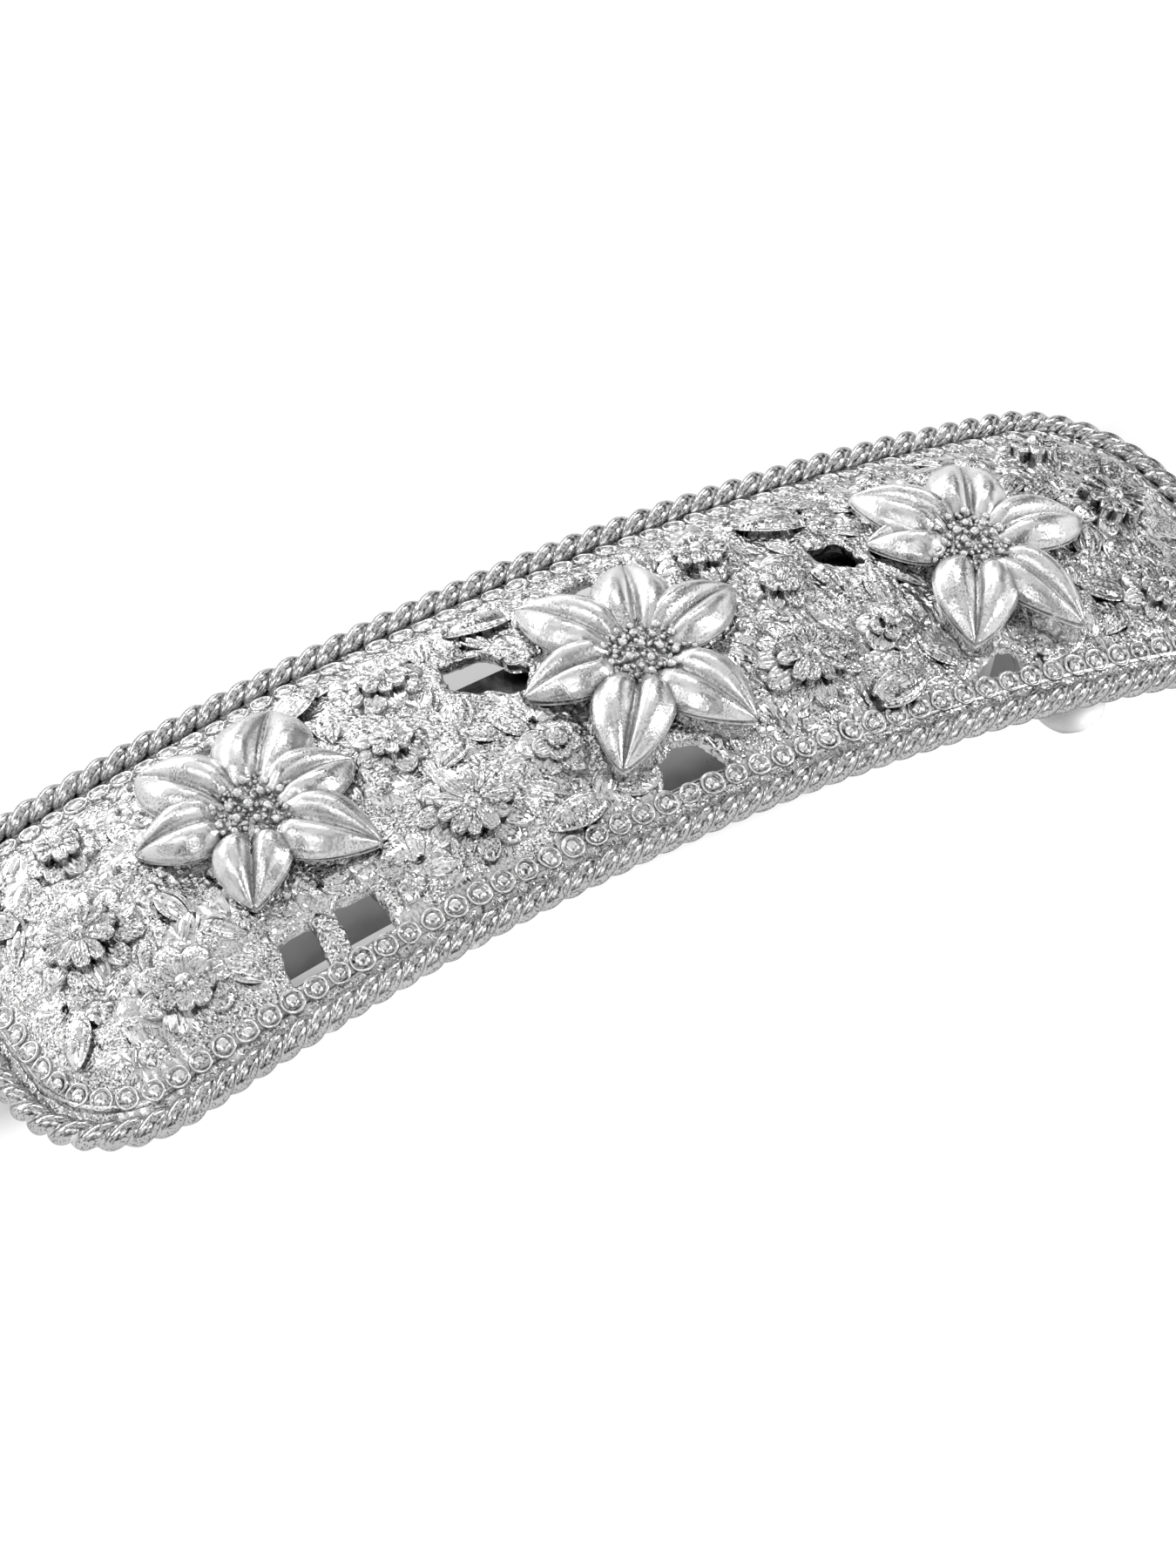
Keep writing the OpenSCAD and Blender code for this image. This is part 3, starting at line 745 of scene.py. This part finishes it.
def make_flower(node):
    """A small flower: rings of petals, a domed button and the grains round it."""
    low, high = box_mm(node)
    x, y = (low[:2] + high[:2]) / 2
    radius = (high[0] - low[0]) / 2
    seat = on_plate(x, y)
    count, button, rings = FLOWERS[kind(node)]
    flower = Parts()
    for level, (inner, outer, base, height, groove, tip) in enumerate(rings):
        width = 2 * math.pi * radius * (0.3 * inner + 0.7 * outer) / count
        for k in range(count):
            turn = 360 * (k + 0.5 * level) / count + rng.normal(0, 3)
            reach = radius * outer * (1 + rng.normal(0, 0.04))
            here = height * (1 + rng.normal(0, 0.1))
            petal = small_petal(radius * inner, reach, width * (1 + rng.normal(0, 0.06)), here, base, groove)
            flower.add(petal, seat @ turned(turn, tip=tip + rng.normal(0, 2)))
    button_r = button * radius
    top = rings[-1][2] + 0.75
    dome = [(button_r * math.cos(a), top - button_r + button_r * math.sin(a)) for a in np.linspace(0, 1.5, 7)]
    flower.add(lathe([(button_r * 0.9, -0.3)] + dome, 18), seat)
    for k in range(3 * count):
        r = button_r * (1.15 + 0.5 * rng.random())
        a = k * SEED_TURN
        z = top - 0.75 + 0.15 * rng.normal()
        flower.add(ball(0.12 + 0.08 * rng.random(), 6), seat @ turned(0, r * math.cos(a), r * math.sin(a), z))
    piece(f"{node}_petals", flower, RELIEF_SILVER, replaces=[node])


def leaf_shape(length, width, ribs, height=0.5, rows=14, cols=17):
    """Leaf with ribs that fan out from its stem at the origin, along +X."""
    u, v = petal_shares(rows, cols)
    half = width / 2 * np.clip(np.sin(math.pi * (0.08 + 0.92 * u) ** 0.9), 0, 1) ** 0.7 + 0.02
    fan = np.abs(np.sin(ribs * math.pi / 2 * v + 0.6 * u))
    crown = height * (np.sin(math.pi * (0.15 + 0.75 * u)) * (1 - 0.6 * v**2))
    z = crown + 0.16 * fan * np.sin(math.pi * u) ** 0.5
    top = np.stack([length * u + 0 * v, v * half, z], -1)
    bottom = np.stack([length * u + 0 * v, v * half, 0 * z - 0.7], -1)
    return shell(top, bottom)


def make_leaf(node):
    """A ribbed leaf along the CAD leaf's own long axis."""
    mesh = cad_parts[node].data
    plan = np.array([v.co[:2] for v in mesh.vertices]) / MM
    centre = (plan.min(0) + plan.max(0)) / 2
    axis = np.linalg.svd(plan - plan.mean(0), full_matrices=False)[2][0]
    length = np.ptp((plan - centre) @ axis)
    turn = math.degrees(math.atan2(axis[1], axis[0]))
    leaf = Parts()
    stem = centre - axis * length / 2
    leaf.add(leaf_shape(length, length * 0.55, 5), on_plate(*stem, 0.1, turn))
    piece(f"{node}_blade", leaf, RELIEF_SILVER, replaces=[node])


def make_ground_relief():
    """Small cast leaves, buds and fans of petals that fill the plate between the flowers."""
    relief = Parts()
    taken = []
    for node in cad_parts:
        if kind(node) in FLOWERS:
            low, high = box_mm(node)
            taken.append((*(low[:2] + high[:2]) / 2, (high[0] - low[0]) / 2 * 0.9))
    for side in LILY_PETALS:
        taken.append((*on_lily(side)[:2, 3], 3.4))
    shapes = ["leaf", "fan", "leaf", "bud"]
    for attempt in range(FILLER_TRIES):
        x = rng.uniform(-HALF_LEN + 2.6, HALF_LEN - 2.6)
        y = rng.uniform(-HALF_W, HALF_W)
        turn = rng.uniform(0, 360)
        size = rng.uniform(1.0, 1.9)
        if inset_at(x, y) < 2.75 + size * 0.62:
            continue
        if any(math.hypot(x - a, y - b) < r + size * 0.6 for a, b, r in taken):
            continue
        if not is_solid_round(x, y, size):
            continue
        taken.append((x, y, size * 0.62))
        add_filler(relief, shapes[attempt % 4], x, y, size, turn)
    piece("ground_relief", relief, RELIEF_SILVER)


def is_solid_round(x, y, size):
    """Whether the plate has metal at x, y and on two rings round it."""
    for share in (0, 0.6, 1.2):
        for a in range(7):
            if not is_solid(x + share * size * math.cos(a), y + share * size * math.sin(a)):
                return False
    return True


def add_filler(relief, shape, x, y, size, turn):
    """Adds one small leaf, bud of five petals or fan of three petals."""
    seat = on_plate(x, y, -0.2, turn)
    if shape == "leaf":
        relief.add(leaf_shape(2.3 * size, 1.3 * size, 3, 0.4), seat @ turned(0, x=-size))
    elif shape == "bud":
        for k in range(5):
            relief.add(small_petal(0.1, size, 0.95 * size, 0.5, 0.1, 0.2, 8, 9), seat @ turned(72 * k, tip=8))
        relief.add(ball(0.22 * size, 8), seat @ turned(0, z=0.5))
    else:
        for k in (-1, 1, 0):
            petal = small_petal(0.1, 2.0 * size, 1.1 * size, 0.5 + 0.15 * (k == 0), 0.05, 0.2, 9, 11)
            relief.add(petal, seat @ turned(38 * k, x=-size, tip=5))


# ---- Mechanism ----


def make_bevelled(node, body, material, width, name):
    """A CAD steel piece with its sheared edges broken."""
    bm = cad_mesh(node)
    bmesh.ops.dissolve_limit(bm, angle_limit=math.radians(0.8), verts=bm.verts, edges=bm.edges)
    mesh = bpy.data.meshes.new(name)
    bm.to_mesh(mesh)
    bm.free()
    obj = bpy.data.objects.new(name, mesh)
    bpy.context.scene.collection.objects.link(obj)
    bevel = obj.modifiers.new("bevel", "BEVEL")
    bevel.width = width * MM
    bevel.segments = 2
    bevel.limit_method = "ANGLE"
    bevel.angle_limit = math.radians(40)
    bevel.use_clamp_overlap = True
    obj.data = evaluated(obj)
    obj.modifiers.clear()
    obj.data.set_sharp_from_angle(angle=math.radians(32))
    finished(obj, material, body, [node])


def make_mechanism():
    """The steel parts under the ornament."""
    # The bar and clasp head take the near-black painted shade of the bar's steel.
    make_bevelled("base_bar", BODY, SHADED_BAR_STEEL, 0.12, "base_bar_steel")
    make_bevelled("clasp_head", BODY, SHADED_BAR_STEEL, 0.12, "clasp_head_steel")
    make_bevelled("latch_arm", "latch_arm", ARM_STEEL, 0.1, "latch_arm_steel")
    make_bevelled("spring_leaf", "spring_leaf", SPRING_STEEL, 0.06, "spring_leaf_steel")
    for side in ("near", "far"):
        tab = f"thumb_tab_{side}"
        make_bevelled(tab, tab, ARM_STEEL, 0.12, f"tab_{side}_steel")
    for node in ("clasp_rivet", "spring_rivet", "hinge_pin"):
        make_bevelled(node, BODY, PIN_STEEL, 0.1, f"{node}_steel")
    make_bevelled("solder_pads", BODY, SOLDER, 0.1, "solder_spots")


# ---- Camera, light and floor ----

# Direction from the clip to the camera, the camera's distance in metres, and its lens
TO_CAMERA = Vector((-0.368, -0.613, 0.699)).normalized()
CAMERA_DISTANCE = 0.5
LENS = 182.9
SHIFT_X = -0.016
SHIFT_Y = -0.0023

# Brightness of the studio's walls, from behind the clip at 0 to behind the camera at 1
WALL_STOPS = [(0.0, 0.66), (0.35, 0.9), (0.6, 0.78), (0.8, 0.82), (1.0, 0.82)]
BACKDROP = 0.95

# Soft boxes: name, place and size in metres, and power in watts
SOFTBOXES = [
    ("key", (0.25, 0.42, 0.55), (0.35, 0.25), 0.75),
    ("fill", (-0.55, 0.1, 0.45), (0.3, 0.3), 0.42),
    ("rim", (0.5, -0.3, 0.35), (0.12, 0.3), 0.9),
    ("low back", (-0.15, 0.6, 0.2), (0.8, 0.16), 1.3),
    ("front", (-0.4, -0.45, 0.6), (0.3, 0.1), 0.35),
]

# The floor's paper, in metres. Its glow stops under the clip, so that the openings look dark.
FLOOR_HALF = 2.0
FLOOR_DROP = 0.00005
GLOW_NEAR = (-0.004, -0.001)
GLOW_BEYOND = (0.019, 0.0225)
GLOW_PAST_ENDS = (0.042, 0.05)
GLOW_ARCH = 3.1
GLOW_MIDDLE_X = 0.004


def make_camera():
    """The photograph's view."""
    data = bpy.data.cameras.new("camera")
    data.lens = LENS
    data.sensor_width = 36
    data.shift_x = SHIFT_X
    data.shift_y = SHIFT_Y
    data.clip_start = 0.01
    camera = bpy.data.objects.new("camera", data)
    bpy.context.scene.collection.objects.link(camera)
    aim = Vector((0, 0, 4.2 * MM))
    right = Vector((0, 0, 1)).cross(TO_CAMERA).normalized()
    up = TO_CAMERA.cross(right)
    turn = Matrix((right, up, TO_CAMERA)).transposed().to_4x4()
    camera.matrix_world = Matrix.Translation(aim + TO_CAMERA * CAMERA_DISTANCE) @ turn
    bpy.context.scene.camera = camera


def softbox(name, place, size, power):
    """A rectangular light that faces the clip."""
    data = bpy.data.lights.new(name, "AREA")
    data.shape = "RECTANGLE"
    data.size, data.size_y = size
    data.energy = power
    light = bpy.data.objects.new(name, data)
    turn = Vector(place).to_track_quat("Z", "Y").to_matrix().to_4x4()
    light.matrix_world = Matrix.Translation(place) @ turn
    bpy.context.scene.collection.objects.link(light)


def wall_brightness(tree, direction):
    """Colour of the walls by direction, brighter and darker in broad uneven patches."""
    facing = tree.nodes.new("ShaderNodeVectorMath")
    facing.operation = "DOT_PRODUCT"
    link(tree, direction, facing.inputs[0])
    facing.inputs[1].default_value = TO_CAMERA
    ramp = tree.nodes.new("ShaderNodeValToRGB")
    while len(ramp.color_ramp.elements) < len(WALL_STOPS):
        ramp.color_ramp.elements.new(0.5)
    for element, (position, value) in zip(ramp.color_ramp.elements, WALL_STOPS):
        element.position = position
        element.color = (*grey(value), 1)
    link(tree, mapped(tree, facing.outputs["Value"], 0.0, 1.0, -1.0, 1.0), ramp.inputs["Fac"])
    gaps = tree.nodes.new("ShaderNodeTexNoise")
    gaps.inputs["Scale"].default_value = 3.2
    gaps.inputs["Detail"].default_value = 1.0
    link(tree, direction, gaps.inputs["Vector"])
    uneven = tree.nodes.new("ShaderNodeVectorMath")
    uneven.operation = "SCALE"
    link(tree, ramp.outputs["Color"], uneven.inputs[0])
    link(tree, mapped(tree, gaps.outputs["Fac"], 0.02, 1.25, 0.41, 0.56), uneven.inputs["Scale"])
    return uneven.outputs["Vector"]


def make_studio():
    """White backdrop for the camera, uneven bright walls for reflections, and the soft boxes."""
    world = bpy.data.worlds.new("studio")
    bpy.context.scene.world = world
    world.use_nodes = True
    tree = world.node_tree
    direction = tree.nodes.new("ShaderNodeTexCoord").outputs["Generated"]
    seen = tree.nodes.new("ShaderNodeLightPath").outputs["Is Camera Ray"]
    mix = tree.nodes.new("ShaderNodeMix")
    mix.data_type = "RGBA"
    link(tree, seen, mix.inputs["Factor"])
    link(tree, wall_brightness(tree, direction), mix.inputs["A"])
    mix.inputs["B"].default_value = (*grey(BACKDROP), 1)
    link(tree, mix.outputs["Result"], tree.nodes["Background"].inputs["Color"])
    for name, place, size, power in SOFTBOXES:
        softbox(name, place, size, power)


def glow_mask(tree):
    """Where the floor glows: near of the clip, beyond its arch, and past its ends."""
    place = tree.nodes.new("ShaderNodeSeparateXYZ")
    link(tree, tree.nodes.new("ShaderNodeTexCoord").outputs["Object"], place.inputs["Vector"])
    near = mapped(tree, place.outputs["Y"], 1.0, 0.0, *GLOW_NEAR)
    off_middle = math_node(tree, "SUBTRACT", place.outputs["X"], GLOW_MIDDLE_X)
    arch = math_node(tree, "MULTIPLY", math_node(tree, "MULTIPLY", off_middle, off_middle), GLOW_ARCH)
    beyond = mapped(tree, math_node(tree, "ADD", place.outputs["Y"], arch), 0.0, 1.0, *GLOW_BEYOND)
    off_centre = math_node(tree, "ABSOLUTE", place.outputs["X"], 0.0)
    past_end = mapped(tree, off_centre, 0.0, 1.0, *GLOW_PAST_ENDS)
    return math_node(tree, "MAXIMUM", math_node(tree, "MAXIMUM", near, beyond), past_end)


def floor_paper():
    """White paper that glows a little, so that it comes out as bright as the photograph's backdrop."""
    paper = bpy.data.materials.new("floor_paper")
    paper.use_nodes = True
    tree = paper.node_tree
    shader = tree.nodes["Principled BSDF"]
    shader.inputs["Base Color"].default_value = (*grey(0.85), 1)
    shader.inputs["Roughness"].default_value = 0.9
    glow = tree.nodes.new("ShaderNodeEmission")
    glow.inputs["Color"].default_value = (*grey(1), 1)
    glow.inputs["Strength"].default_value = 1.06
    seen = tree.nodes.new("ShaderNodeLightPath").outputs["Is Camera Ray"]
    mix = tree.nodes.new("ShaderNodeMixShader")
    share = math_node(tree, "MULTIPLY", mapped(tree, seen, 0.45, 0.93), glow_mask(tree))
    link(tree, share, mix.inputs["Fac"])
    link(tree, shader.outputs["BSDF"], mix.inputs[1])
    link(tree, glow.outputs["Emission"], mix.inputs[2])
    link(tree, mix.outputs["Shader"], tree.nodes["Material Output"].inputs["Surface"])
    return paper


def make_floor():
    """A plain floor just under the clip."""
    corners = [(x * FLOOR_HALF, y * FLOOR_HALF, 0) for x, y in ((-1, -1), (1, -1), (1, 1), (-1, 1))]
    mesh = bpy.data.meshes.new("floor")
    mesh.from_pydata(corners, [], [(0, 1, 2, 3)])
    mesh.materials.append(floor_paper())
    floor = bpy.data.objects.new("floor", mesh)
    floor.location.z = -FLOOR_DROP
    bpy.context.scene.collection.objects.link(floor)


bpy.context.scene.view_settings.view_transform = "Standard"
make_camera()
make_studio()
make_floor()
make_plate()
make_rope()
make_beads()
for lily_side in LILY_PETALS:
    make_lily(lily_side)
    make_stamens(lily_side)
for node_name in sorted(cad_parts):
    if kind(node_name) in FLOWERS:
        make_flower(node_name)
    if kind(node_name) == "leaf":
        make_leaf(node_name)
make_ground_relief()
make_mechanism()
